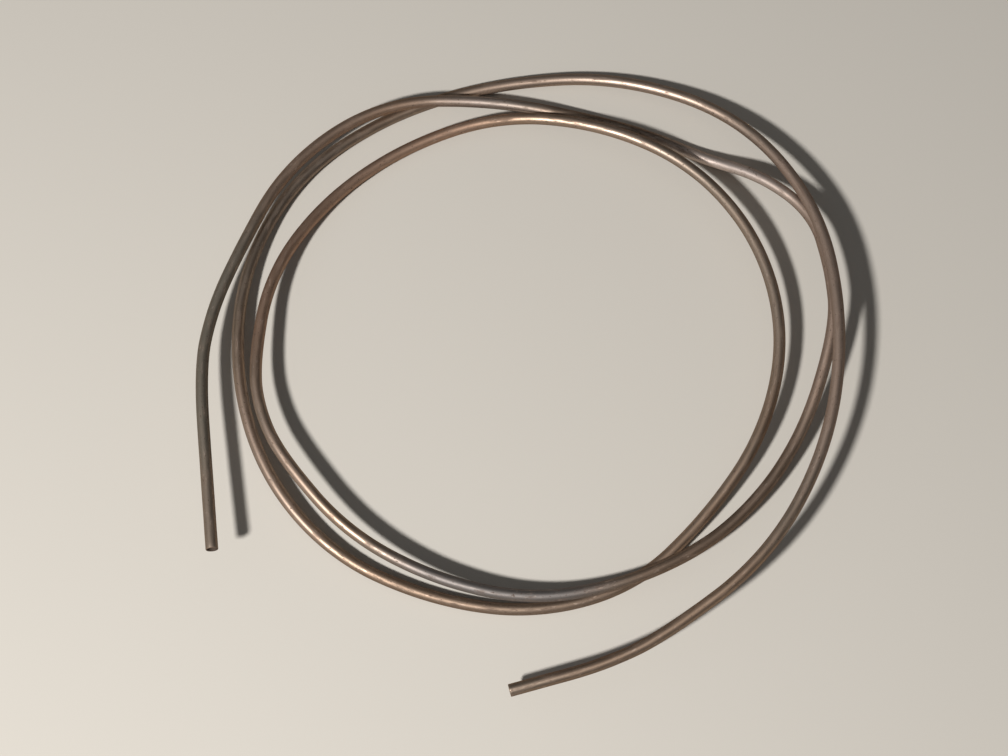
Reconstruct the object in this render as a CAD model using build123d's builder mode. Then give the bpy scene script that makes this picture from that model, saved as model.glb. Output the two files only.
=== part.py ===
from build123d import *
import os
from math import cos, radians, tan

# Copper tube coil: one length of soft quarter-inch tube, hand-wound into a loose coil of not quite
# three turns and lying on a floor. +Z is up, +X and +Y lie on the floor, and the tail end comes
# round the near side (-Y). All sizes are millimetres.

# Tube: 1/4 in outside diameter soft copper, 0.030 in wall
tube_od = 6.35
tube_wall = 0.76
tube_bore = tube_od - 2 * tube_wall

# Wheel-cut ends: the outer edge is rolled in a little, the bore edge is reamed
end_roll = 0.30
end_ream = 0.15

# Coil: centreline radius of its tightest turn, and how far each free end runs on past its last station
loop_radius = 130.0
tail_overhang = 13.0
tip_overhang = 31.5

# Route of the tube's centreline, from the tail to the raised tip, anticlockwise from above. Each
# station is (step, lane, lift): how far round it is, in sixteenths of a turn from the tail, how far
# it lies outside the loop radius, and how far the tube's underside is sprung up from the floor, both
# in tube diameters.
steps_per_turn = 16
tail_bearing = -90.0
route = [
    # Tail along the near side, rising to the widest turn on the right
    (0, 6.5, 1.8), (1, 5.3, 2.6), (2, 5.4, 3.9), (3, 5.2, 4.8),
    # First turn: over the other passes on the right, down to the floor at the far side
    (4, 5.3, 5.1), (5, 6.7, 3.8), (6, 7.7, 1.6), (7, 6.4, 0.3), (8, 4.6, 0.0), (9, 4.0, 0.0),
    (10, 3.6, 0.8), (11, 2.9, 1.2), (12, 2.1, 1.2), (13, 1.6, 0.9), (14, 0.9, 0.4), (15, 0.3, 0.1),
    (16, 0.2, 0.0), (17, 0.1, 0.0), (18, -0.5, 0.8), (19, 0.2, 2.1),
    # Second turn: the tightest, sprung up on the right and on the left
    (20, 1.0, 2.5), (21, 1.5, 2.4), (22, 1.7, 1.8), (23, 1.4, 1.1), (24, 1.4, 0.3), (25, 0.8, 0.0),
    (26, 0.7, 0.4), (27, 0.7, 1.8), (28, 0.6, 2.7), (28.5, 0.6, 2.8), (29, 0.0, 2.9), (30, -0.4, 2.5),
    (31, -0.8, 1.8), (32, -0.4, 1.5), (33, -0.2, 1.4), (34, 1.2, 1.2), (35, 3.0, 1.7),
    # Last part turn: arched under the first one on the right, kinked down to the floor past it, then
    # over it at the far side
    (36, 5.3, 2.5), (37, 6.7, 2.6), (37.5, 5.3, 1.9), (38, 3.6, 0.0), (38.5, 3.0, 0.0),
    (39, 2.5, 0.0), (40, 2.7, 0.7), (41, 4.8, 1.4), (42, 4.9, 1.8), (43, 4.0, 2.2), (43.5, 4.6, 2.4),
    (44, 4.9, 2.8), (45, 6.6, 3.4),
]

# Share of each straight run that the arc at either end of it may take
run_share = 0.45


def station_point(index):
    """Corner of the route at one station: the arcs inside the corners keep to the station's lane."""
    step, lane, lift = route[index]
    reach = loop_radius + lane * tube_od
    if 0 < index < len(route) - 1:
        reach /= cos(radians((route[index + 1][0] - route[index - 1][0]) * 90 / steps_per_turn))
    height = (lift + 0.5) * tube_od
    return Vector(reach, 0, height).rotate(Axis.Z, tail_bearing + step * 360 / steps_per_turn)


def run_on(end, neighbour, overhang):
    """End point carried straight on, away from its neighbour."""
    return end + (end - neighbour).normalized() * overhang


def bend_radius(before, corner, after):
    """Largest arc that rounds the corner and leaves its neighbours their share of the runs."""
    arriving = corner - before
    leaving = after - corner
    shorter_run = min(arriving.length, leaving.length)
    return run_share * shorter_run / tan(radians(arriving.get_angle(leaving)) / 2)


corners = [station_point(index) for index in range(len(route))]
corners[0] = run_on(corners[0], corners[1], tail_overhang)
corners[-1] = run_on(corners[-1], corners[-2], tip_overhang)
bends = [bend_radius(*corners[i - 1 : i + 2]) for i in range(1, len(corners) - 1)]
print(f"bend radii from {min(bends):.0f} to {max(bends):.0f} mm")

with BuildPart() as copper_tube:
    with BuildLine() as centreline:
        FilletPolyline(*corners, radius=bends)
    route_start = Plane(origin=centreline.line @ 0, z_dir=centreline.line % 0)
    with BuildSketch(route_start) as section:
        Circle(tube_od / 2)
        Circle(tube_bore / 2, mode=Mode.SUBTRACT)
    sweep(sections=section.sketch, path=centreline.line)

    ends = faces().filter_by(GeomType.PLANE)
    chamfer([end.edges().sort_by(Edge.length)[-1] for end in ends], end_roll)
    chamfer([end.edges().sort_by(Edge.length)[0] for end in faces().filter_by(GeomType.PLANE)], end_ream)

length = sum(edge.length for edge in centreline.edges())
metal = copper_tube.part.volume
expected = section.sketch.area * length
print(f"tube length {length:.0f} mm, volume {metal:.0f} mm3, section times length {expected:.0f} mm3")

# The origin is on the floor, under the middle of the coil's outline
outline = copper_tube.part.bounding_box()
copper_tube.part.move(Location((-outline.center().X, -outline.center().Y, -outline.min.Z)))

os.makedirs("parts", exist_ok=True)
copper_tube.part.label = "copper_tube"
export_step(copper_tube.part, "parts/copper_tube.step")
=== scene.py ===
from math import atan2, cos, pi, radians, sin

import bmesh
import bpy
from mathutils import Matrix, Vector, kdtree, noise


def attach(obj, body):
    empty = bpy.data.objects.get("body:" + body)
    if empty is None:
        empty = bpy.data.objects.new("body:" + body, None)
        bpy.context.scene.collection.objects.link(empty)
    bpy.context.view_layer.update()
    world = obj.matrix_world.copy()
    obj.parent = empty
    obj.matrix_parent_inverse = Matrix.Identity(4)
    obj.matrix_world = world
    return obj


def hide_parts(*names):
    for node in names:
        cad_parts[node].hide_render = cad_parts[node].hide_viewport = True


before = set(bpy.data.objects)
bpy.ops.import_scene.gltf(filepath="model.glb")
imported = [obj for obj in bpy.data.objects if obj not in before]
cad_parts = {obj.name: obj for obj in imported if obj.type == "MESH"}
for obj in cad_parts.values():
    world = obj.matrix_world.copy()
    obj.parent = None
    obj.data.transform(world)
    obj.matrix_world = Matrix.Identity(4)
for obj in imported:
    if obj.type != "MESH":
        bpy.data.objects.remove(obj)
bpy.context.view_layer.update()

# Copper tube coil: one length of soft quarter-inch tube, hand-wound into not quite three loose turns.
# Lengths are metres here. The route follows the part's own stations, a few of them set a little closer
# to the photograph: (step, lane, lift), which are sixteenths of a turn from the tail, and tube
# diameters outside the loop radius and up from the floor.
MM = 0.001
TUBE_OD = 6.35 * MM
TUBE_WALL = 0.76 * MM
TUBE_RADIUS = TUBE_OD / 2
BORE_RADIUS = TUBE_RADIUS - TUBE_WALL
END_ROLL = 0.30 * MM
END_REAM = 0.15 * MM
LOOP_RADIUS = 130.0 * MM
TAIL_OVERHANG = 14.0 * MM
TIP_OVERHANG = 31.5 * MM
STEPS_PER_TURN = 16
TAIL_BEARING = -90.0
ROUTE = [
    # Tail along the near side, rising to the widest turn on the right
    (0, 6.55, 1.8), (0.5, 5.9, 2.1), (1, 5.4, 2.6), (2, 5.4, 3.9), (3, 5.2, 4.8),
    # First turn: over the other passes on the right, down to the floor at the far side
    (4, 5.3, 5.1), (5, 6.7, 3.8), (6, 7.6, 1.6), (7, 6.4, 0.3), (8, 4.6, 0.0), (9, 4.1, 0.0),
    (10, 4.1, 0.3), (11, 3.15, 0.9), (12, 2.1, 1.2), (13, 1.7, 0.9), (14, 1.1, 0.4), (15, 0.2, 0.1),
    (16, 0.3, 0.0), (17, 0.3, 0.0), (18, -0.5, 0.8), (19, 0.2, 2.1),
    # Second turn: the tightest, sprung up on the right and on the left
    (20, 1.0, 2.5), (21, 1.4, 2.5), (22, 1.5, 2.1), (23, 1.15, 1.5), (24, 1.3, 0.6), (25, 0.8, 0.1),
    (26, 0.7, 0.4), (27, 0.7, 1.8), (28, 0.6, 2.7), (28.5, 0.6, 2.8), (29, 0.0, 2.9), (30, -0.7, 2.5),
    (31, -1.05, 1.8), (32, -0.4, 1.5), (33, 0.2, 1.4), (34, 1.6, 1.2), (35, 3.1, 1.7),
    # Last part turn: arched under the first one on the right, kinked down to the floor past it, then
    # over it at the far side
    (36, 5.2, 3.4), (36.5, 5.95, 3.4), (37, 6.7, 2.7), (37.5, 5.3, 2.0), (38, 3.6, 0.1), (38.5, 2.8, 0.0),
    (39, 2.2, 0.0), (40, 2.6, 0.7), (41, 4.8, 1.4), (42, 4.85, 1.8), (43, 4.0, 2.2), (43.5, 4.6, 2.4),
    (44, 4.9, 2.8), (45, 6.6, 3.4),
]
# From the loops' own axis to the middle of the coil's outline on the floor
AXIS_SHIFT = Vector((-1.611 * MM, 6.366 * MM, 0))

# The drawn tube: flats round its section, rows to each station, and steps round each edge of a cut end
SIDES = 32
ROWS_PER_STATION = 22
EDGE_STEPS = 3
SHARP_ANGLE = 38
# How far handling has flattened it: by this share in a bend of this radius, and no more than so many
# times that in a tighter one, with shallow dents between
OVAL_SHARE = 0.035
OVAL_BEND = 60.0 * MM
OVAL_MOST = 1.5
DENT_DEPTH = 0.06 * MM
DENTS_PER_METRE = 55
DENT_SPREAD = 0.35
# Less bow than this between three rows is a straight run
NO_BOW = 1e-9
# How near a corner lies to a cut end's plane and to its rings, and the corners of the seam to each other
PLANE_REACH = 0.02 * MM
RING_REACH = 0.2 * MM
SEAM_REACH = 0.01 * MM


# Shader maths

class Wire:
    """A node socket that can be used in Python expressions."""

    def __init__(self, nodes, socket):
        self.nodes = nodes
        self.socket = socket

    def output(self, name):
        """Another output of the same node."""
        return Wire(self.nodes, self.socket.node.outputs[name])

    def maths(self, operation, *values):
        return self.nodes.node("Math", {"operation": operation}, dict(enumerate(values)))

    def __add__(self, other):
        return self.maths("ADD", self, other)

    def __radd__(self, other):
        return self.maths("ADD", other, self)

    def __sub__(self, other):
        return self.maths("SUBTRACT", self, other)

    def __rsub__(self, other):
        return self.maths("SUBTRACT", other, self)

    def __mul__(self, other):
        return self.maths("MULTIPLY", self, other)

    def __rmul__(self, other):
        return self.maths("MULTIPLY", other, self)

    def cosine(self):
        return self.maths("COSINE", self)

    def sine(self):
        return self.maths("SINE", self)

    def rise(self, low, high):
        """0 at low and before, 1 at high and after, smooth between them."""
        sockets = {"Value": self, "From Min": low, "From Max": high}
        return self.nodes.node("MapRange", {"interpolation_type": "SMOOTHSTEP"}, sockets)

    def between(self, start, stop, fade):
        """1 from start to stop, fading to 0 outside them."""
        return self.rise(start - fade, start + fade) * (1 - self.rise(stop - fade, stop + fade))


class Nodes:
    """The nodes of a material or a world: one method adds any node."""

    def __init__(self, owner):
        owner.use_nodes = True
        self.tree = owner.node_tree
        self.tree.nodes.clear()

    def node(self, kind, settings, sockets, output=0):
        node = self.tree.nodes.new("ShaderNode" + kind)
        for name, value in settings.items():
            setattr(node, name, value)
        for name, value in sockets.items():
            if isinstance(value, Wire):
                self.tree.links.new(value.socket, node.inputs[name])
            else:
                node.inputs[name].default_value = value
        return Wire(self, node.outputs[output]) if node.outputs else None

    def mix(self, amount, first, second):
        """Second over first, by that amount."""
        values = {0: amount, 6: first, 7: second}
        for index in (6, 7):
            if not isinstance(values[index], Wire):
                values[index] = (*values[index], 1)
        return self.node("Mix", {"data_type": "RGBA"}, values, output=2)

    def noise(self, place, around, along, detail, roughness):
        """Noise with so many waves to the millimetre round the tube and along it."""
        scaled = self.node("VectorMath", {"operation": "MULTIPLY"}, {0: place, 1: (around, around, along)})
        sockets = {"Vector": scaled, "Scale": 1.0, "Detail": detail, "Roughness": roughness}
        return self.node("TexNoise", {"noise_dimensions": "3D"}, sockets)


# The tube

def station_point(index):
    step, lane, lift = ROUTE[index]
    reach = LOOP_RADIUS + lane * TUBE_OD
    if 0 < index < len(ROUTE) - 1:
        reach /= cos((ROUTE[index + 1][0] - ROUTE[index - 1][0]) * pi / 2 / STEPS_PER_TURN)
    bearing = radians(TAIL_BEARING + step * 360 / STEPS_PER_TURN)
    return Vector((reach * cos(bearing), reach * sin(bearing), (lift + 0.5) * TUBE_OD)) + AXIS_SHIFT


def run_on(end, neighbour, overhang):
    return end + (end - neighbour).normalized() * overhang


def centreline():
    """Points along the tube's middle, read from a smooth spline through the route."""
    stations = [station_point(index) for index in range(len(ROUTE))]
    tail = run_on(stations[0], stations[1], TAIL_OVERHANG)
    tip = run_on(stations[-1], stations[-2], TIP_OVERHANG)
    stations = [tail, *stations, tip]
    curve = bpy.data.curves.new("route", "CURVE")
    curve.dimensions = "3D"
    spline = curve.splines.new("NURBS")
    spline.points.add(len(stations) - 1)
    for point, place in zip(spline.points, stations):
        point.co = (*place, 1)
    spline.order_u = 3
    spline.use_endpoint_u = True
    spline.resolution_u = ROWS_PER_STATION
    carrier = bpy.data.objects.new("route", curve)
    line = bpy.data.meshes.new_from_object(carrier)
    points = [vertex.co.copy() for vertex in line.vertices]
    bpy.data.objects.remove(carrier)
    bpy.data.curves.remove(curve)
    bpy.data.meshes.remove(line)
    return points


def lengths(points):
    """How far along the tube each point lies."""
    total = [0.0]
    for before, after in zip(points, points[1:]):
        total.append(total[-1] + (after - before).length)
    return total


def steps_passed(points):
    """How many steps of the route each point has come round from the tail."""
    place = points[0] - AXIS_SHIFT
    turned = [atan2(place.y, place.x) - radians(TAIL_BEARING)]
    for before, after in zip(points, points[1:]):
        before = (before - AXIS_SHIFT).xy
        after = (after - AXIS_SHIFT).xy
        turned.append(turned[-1] + atan2(before.cross(after), before.dot(after)))
    return [angle * STEPS_PER_TURN / (2 * pi) for angle in turned]


def sections(points):
    """For each point: two directions that span the round section without twist, and how oval it is."""
    found = []
    side = None
    for index, point in enumerate(points):
        before = points[max(index - 1, 0)]
        after = points[min(index + 1, len(points) - 1)]
        ahead = (after - before).normalized()
        if side is None:
            side = ahead.cross(Vector((0, 0, 1)))
        side = (side - ahead * side.dot(ahead)).normalized()
        bow = (before + after) / 2 - point
        reach = (after - before).length / 2
        bend = 2 * bow.length / reach ** 2
        oval = min(bend * OVAL_BEND, OVAL_MOST) * OVAL_SHARE
        inward = bow.normalized() if bow.length > NO_BOW else side
        found.append((side, ahead.cross(side), inward, oval))
    return found


def end_edges(bm, end, ahead, radius):
    """The edges of one cut end that ring the tube's middle at that radius."""
    def on_ring(vertex):
        offset = vertex.co - end
        return abs(offset.dot(ahead)) < PLANE_REACH and abs(offset.length - radius) < RING_REACH
    return [edge for edge in bm.edges if all(on_ring(vertex) for vertex in edge.verts)]


def tube_mesh(name, points):
    """A flat sheet as long as the line, wrapped round it, given its wall, and its ends rolled in."""
    bm = bmesh.new()
    uv = bm.loops.layers.uv.new("UVMap")
    rows = len(points) - 1
    bmesh.ops.create_grid(bm, x_segments=SIDES, y_segments=rows, size=0.5, calc_uvs=True)
    total = lengths(points)
    for face in bm.faces:
        for loop in face.loops:
            row = round((loop.vert.co.y + 0.5) * rows)
            loop[uv].uv = (loop.vert.co.x + 0.5, total[row] / total[-1])
    around = sections(points)
    for vertex in bm.verts:
        row = round((vertex.co.y + 0.5) * rows)
        angle = (vertex.co.x + 0.5) * 2 * pi
        side, up, inward, oval = around[row]
        spoke = side * cos(angle) + up * sin(angle)
        dent = noise.noise(points[row] * DENTS_PER_METRE + spoke * DENT_SPREAD) * DENT_DEPTH
        place = spoke * (TUBE_RADIUS - abs(dent))
        place -= inward * place.dot(inward) * oval
        vertex.co = points[row] + place
    bmesh.ops.remove_doubles(bm, verts=bm.verts, dist=SEAM_REACH)
    bmesh.ops.recalc_face_normals(bm, faces=bm.faces)
    bmesh.ops.solidify(bm, geom=bm.faces[:], thickness=TUBE_WALL)
    for end, neighbour in ((points[0], points[1]), (points[-1], points[-2])):
        ahead = (end - neighbour).normalized()
        for radius, offset in ((TUBE_RADIUS, END_ROLL), (BORE_RADIUS, END_REAM)):
            edges = end_edges(bm, end, ahead, radius)
            bmesh.ops.bevel(
                bm, geom=edges, offset=offset, affect="EDGES", segments=EDGE_STEPS, profile=0.5, material=-1
            )
    for face in bm.faces:
        face.smooth = True
    mesh = bpy.data.meshes.new(name)
    bm.to_mesh(mesh)
    bm.free()
    mesh.set_sharp_from_angle(angle=radians(SHARP_ANGLE))
    mark_bore(mesh, points)
    return mesh


def mark_bore(mesh, points):
    """Gives each vertex a number: 1 in the bore, 0 on the outside.

    Dents and flattening bring the outside in by less than a third of the wall.
    """
    tree = kdtree.KDTree(len(points))
    for index, point in enumerate(points):
        tree.insert(point, index)
    tree.balance()
    inside = mesh.attributes.new("inside", "FLOAT", "POINT")
    for vertex in mesh.vertices:
        distance = tree.find(vertex.co)[2]
        inside.data[vertex.index].value = float(distance < TUBE_RADIUS - TUBE_WALL / 3)


# Finishes

BROWN = (0.335, 0.230, 0.158)
GREY_BROWN = (0.300, 0.236, 0.182)
RED_BROWN = (0.355, 0.225, 0.155)
# Dark brown: the tail's own tint, and painted shade in two bands of the table below
DARK_BROWN_AND_PAINTED_SHADE = (0.200, 0.138, 0.096)
MAUVE = (0.350, 0.258, 0.205)
# Pale pink-beige: a painted highlight
PAINTED_HIGHLIGHT_BEIGE = (0.440, 0.330, 0.262)
# Dark grey: the tube's grey tint, darkened into painted shade
SILVER_GREY_AND_PAINTED_SHADE = (0.165, 0.156, 0.152)
GREY_GREEN = (0.225, 0.203, 0.162)
OXIDE = (0.105, 0.068, 0.048)
RUBBED = (0.640, 0.500, 0.410)
# Painted shade at the cut ends, dulling the glint on their rolled rims
PAINTED_END_SHADE = (0.230, 0.155, 0.108)
# Pale: a painted highlight
PAINTED_HIGHLIGHT_PALE = (0.560, 0.470, 0.420)
# Painted shade in the bore
PAINTED_BORE_SHADE = (0.060, 0.042, 0.032)
# Dark tint of the metal's reflection at grazing angles: painted shade along the tube's sides
PAINTED_SIDE_SHADE = (0.160, 0.125, 0.100)
FLOOR_COLOUR = (0.56, 0.52, 0.46)
FLOOR_ROUGHNESS = 0.9

# The noise in the finish: waves to the millimetre round the tube and along it, detail, roughness
DRIFT = (0.10, 0.012, 3.0, 0.5)
BLOTCH = (0.42, 0.10, 5.0, 0.65)
SPECK = (2.6, 1.1, 3.0, 0.6)
SPOT = (0.9, 0.55, 1.0, 0.5)
RUB = (1.1, 0.22, 4.0, 0.65)
SCUFF = (1.6, 3.2, 4.0, 0.7)
DRAW_LINES = (6.5, 0.035, 3.0, 0.7)

# Clean metal's roughness and how metallic it is, the thin clear film on it, and its relief
ROUGHNESS = 0.43
METALLIC = 0.95
COAT_WEIGHT = 0.08
COAT_ROUGHNESS = 0.46
RELIEF_STRENGTH = 0.35
RELIEF_HEIGHT = 0.06 * MM
# How far the painted shade reaches from a cut end, and over how much length one band fades into the next
CUT_REACH = 0.6 * MM
TINT_FADE = 30 * MM

# Where the tube's colour changes, from one step of the route to another: its tint, how much of it,
# and how dull a film goes with it. Some rows are the tube's own tints; others paint highlights and shade, as
# marked
TINTS_AND_PAINTED_LIGHT = [
    (-1.0, 1.1, DARK_BROWN_AND_PAINTED_SHADE, 0.6, 0.0),
    (2.7, 5.7, MAUVE, 0.8, 0.14),
    # Painted highlight along the first turn's far side
    (5.9, 8.3, PAINTED_HIGHLIGHT_BEIGE, 0.7, 0.02),
    (9.4, 11.6, GREY_BROWN, 0.8, 0.0),
    # Painted highlight on the first turn's near side
    (12.0, 13.6, PAINTED_HIGHLIGHT_BEIGE, 0.5, 0.0),
    # Painted shade: darker where the pass above shadows this one, and over the lamp's highlight, which it
    # dims
    (14.2, 17.4, DARK_BROWN_AND_PAINTED_SHADE, 0.8, 0.10),
    (19.4, 21.6, GREY_BROWN, 0.6, 0.08),
    # Painted highlight on the second turn's far side
    (22.2, 23.4, PAINTED_HIGHLIGHT_BEIGE, 0.4, 0.0),
    (24.0, 28.0, RED_BROWN, 0.9, 0.10),
    # Painted highlight on the second turn's near side
    (28.4, 29.7, PAINTED_HIGHLIGHT_BEIGE, 0.5, 0.0),
    # Grey tint of the tube, darkened as painted shade that dims the lamp's highlight here
    (30.4, 32.8, SILVER_GREY_AND_PAINTED_SHADE, 0.9, 0.12),
    # Painted shade: darker where the passes cross, and over the lamp's highlight, which it dims
    (32.8, 35.2, DARK_BROWN_AND_PAINTED_SHADE, 0.85, 0.06),
    (35.2, 37.1, MAUVE, 0.8, 0.12),
    # Painted highlight: a pale band where the last part turn runs down to the floor
    (37.2, 38.2, PAINTED_HIGHLIGHT_PALE, 0.9, 0.04),
    # Painted highlight where the last part turn comes out of the second turn's shadow
    (39.7, 40.5, PAINTED_HIGHLIGHT_PALE, 0.6, 0.0),
    (40.6, 42.4, RED_BROWN, 0.6, 0.06),
    (42.8, 44.8, GREY_GREEN, 0.9, 0.10),
    (44.8, 46.0, GREY_BROWN, 0.8, 0.06),
]


def aged_copper(points):
    material = bpy.data.materials.new("aged_copper")
    nodes = Nodes(material)
    total = lengths(points)
    length = total[-1]
    steps = steps_passed(points)
    uv = nodes.node("UVMap", {"uv_map": "UVMap"}, {})
    share = nodes.node("SeparateXYZ", {}, {0: uv})
    turn = share * (2 * pi)
    along = share.output("Y") * length
    # The tube laid straight: millimetres across its section and along it
    radius = TUBE_RADIUS / MM
    straight = nodes.node(
        "CombineXYZ", {}, {"X": turn.cosine() * radius, "Y": turn.sine() * radius, "Z": along * (1 / MM)}
    )

    # Slow change of the brown along the tube, the tints that it has in places, and painted highlights and
    # painted shade in some of them
    drift = nodes.noise(straight, *DRIFT)
    tone = nodes.mix(drift.rise(0.38, 0.62), BROWN, GREY_BROWN)
    film = 0.0
    for first, last, band_colour, amount, dullness in TINTS_AND_PAINTED_LIGHT:
        start = next((place for place, step in zip(total, steps) if step > first), length)
        stop = next((place for place, step in zip(total, steps) if step > last), length + 1)
        there = along.between(start, stop, TINT_FADE)
        tone = nodes.mix(there * amount, tone, band_colour)
        film = there * dullness + film

    # Blotches of oxide, streaked along the drawing direction, specks of it, and a few dark spots
    blotch = nodes.noise(straight, *BLOTCH)
    tone = nodes.mix(blotch.rise(0.50, 0.68) * 0.62, tone, OXIDE)
    speck = nodes.noise(straight, *SPECK)
    tone = nodes.mix(speck.rise(0.57, 0.72) * 0.55, tone, OXIDE)
    spots = nodes.noise(straight, *SPOT).rise(0.69, 0.74)
    tone = nodes.mix(spots * 0.75, tone, OXIDE)

    # Patches and thin scuffs rubbed clean of it, and the fine lines that the drawing die left
    rub = nodes.noise(straight, *RUB)
    scuff = nodes.noise(straight, *SCUFF)
    rubbed = rub.rise(0.58, 0.74) * 0.7 + scuff.rise(0.66, 0.72) * 0.5
    tone = nodes.mix(rubbed * 0.75, tone, RUBBED)
    lines = nodes.noise(straight, *DRAW_LINES)
    tone = nodes.mix(lines.rise(0.40, 0.75) * 0.20, tone, RUBBED)

    # The cut ends are darkened, painted shade that dulls the glint on their rolled rims, and the bore is
    # painted dark as shade
    end = (1 - along.rise(0.0, CUT_REACH)) + along.rise(length - CUT_REACH, length)
    tone = nodes.mix(end * 0.7, tone, PAINTED_END_SHADE)
    bore = nodes.node("Attribute", {"attribute_name": "inside"}, {}, output="Fac")
    tone = nodes.mix(bore * 0.85, tone, PAINTED_BORE_SHADE)

    grain = blotch.rise(0.45, 0.72) * 0.14 + speck.rise(0.55, 0.72) * 0.10 + spots * 0.15 - rubbed * 0.07
    roughness = ROUGHNESS + grain + film + end * 0.35 + bore * 0.3
    metal = METALLIC - blotch.rise(0.50, 0.70) * 0.35 - bore * 0.4
    height = lines * 0.6 + speck * 0.5 + rub * 0.3 + scuff * 0.4
    bump = nodes.node("Bump", {}, {"Strength": RELIEF_STRENGTH, "Distance": RELIEF_HEIGHT, "Height": height})
    shader = nodes.node(
        "BsdfPrincipled",
        {},
        {
            "Base Color": tone,
            "Metallic": metal,
            "Roughness": roughness,
            "Normal": bump,
            # Painted shade: the dark edge tint dims the metal's reflection at the tube's sides
            "Specular Tint": (*PAINTED_SIDE_SHADE, 1),
            "Coat Weight": COAT_WEIGHT,
            "Coat Roughness": COAT_ROUGHNESS,
        },
    )
    nodes.node("OutputMaterial", {}, {"Surface": shader})
    return material


def plain_floor():
    material = bpy.data.materials.new("plain_floor")
    nodes = Nodes(material)
    sockets = {"Base Color": (*FLOOR_COLOUR, 1), "Roughness": FLOOR_ROUGHNESS}
    nodes.node("OutputMaterial", {}, {"Surface": nodes.node("BsdfPrincipled", {}, sockets)})
    return material


# Building

line = centreline()
tube = bpy.data.objects.new("drawn_tube", tube_mesh("drawn_tube", line))
bpy.context.scene.collection.objects.link(tube)
tube.data.materials.append(aged_copper(line))
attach(tube, "root")
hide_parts("copper_tube")

# Stage, light and camera: metres, watts and degrees

FLOOR_SIZE = 6
bm = bmesh.new()
bmesh.ops.create_grid(bm, x_segments=1, y_segments=1, size=FLOOR_SIZE)
floor_mesh = bpy.data.meshes.new("floor")
bm.to_mesh(floor_mesh)
bm.free()
floor_mesh.materials.append(plain_floor())
floor = bpy.data.objects.new("floor", floor_mesh)
bpy.context.scene.collection.objects.link(floor)

# A lamp at the near left, and a soft sky that is brighter on the left than on the right
KEY_PLACE = Vector((-0.832, -0.894, 1.499))
KEY_SIZE = 0.18
KEY_POWER = 45
SKY_SIDE = Vector((-0.68, -0.20, 0.70))
SKY_COLOUR = (0.97, 0.98, 1.0)
SKY_LEAST = 0.03
SKY_MORE = 0.20
SKY_EDGE = -0.1
lamp = bpy.data.lights.new("key", "AREA")
lamp.shape = "DISK"
lamp.size = KEY_SIZE
lamp.energy = KEY_POWER
key = bpy.data.objects.new("key", lamp)
key.location = KEY_PLACE
key.rotation_euler = (-KEY_PLACE).to_track_quat("-Z", "Y").to_euler()
bpy.context.scene.collection.objects.link(key)

world = bpy.data.worlds.new("studio")
bpy.context.scene.world = world
sky = Nodes(world)
direction = sky.node("TexCoord", {}, {}, output="Generated")
towards = sky.node("VectorMath", {"operation": "DOT_PRODUCT"}, {0: direction, 1: SKY_SIDE}, "Value")
strength = SKY_LEAST + towards.rise(SKY_EDGE, 1.0) * SKY_MORE
glow = sky.node("Background", {}, {"Color": (*SKY_COLOUR, 1), "Strength": strength})
sky.node("OutputWorld", {}, {"Surface": glow})

# The eye is over the near side of the coil, a metre up, and leans a little to the right
CAMERA_PLACE = Vector((-8.5 * MM, -367.7 * MM, 1049.0 * MM))
CAMERA_TILT = 19.27
CAMERA_LEAN = -3.55
CAMERA_SENSOR = 36
CAMERA_LENS = 76
lens = bpy.data.cameras.new("camera")
lens.sensor_width = CAMERA_SENSOR
lens.lens = CAMERA_LENS
camera = bpy.data.objects.new("camera", lens)
aim = Matrix.Rotation(radians(CAMERA_TILT), 4, "X") @ Matrix.Rotation(radians(CAMERA_LEAN), 4, "Z")
camera.matrix_world = Matrix.Translation(CAMERA_PLACE) @ aim
bpy.context.scene.collection.objects.link(camera)
bpy.context.scene.camera = camera
bpy.context.scene.view_settings.view_transform = "Standard"
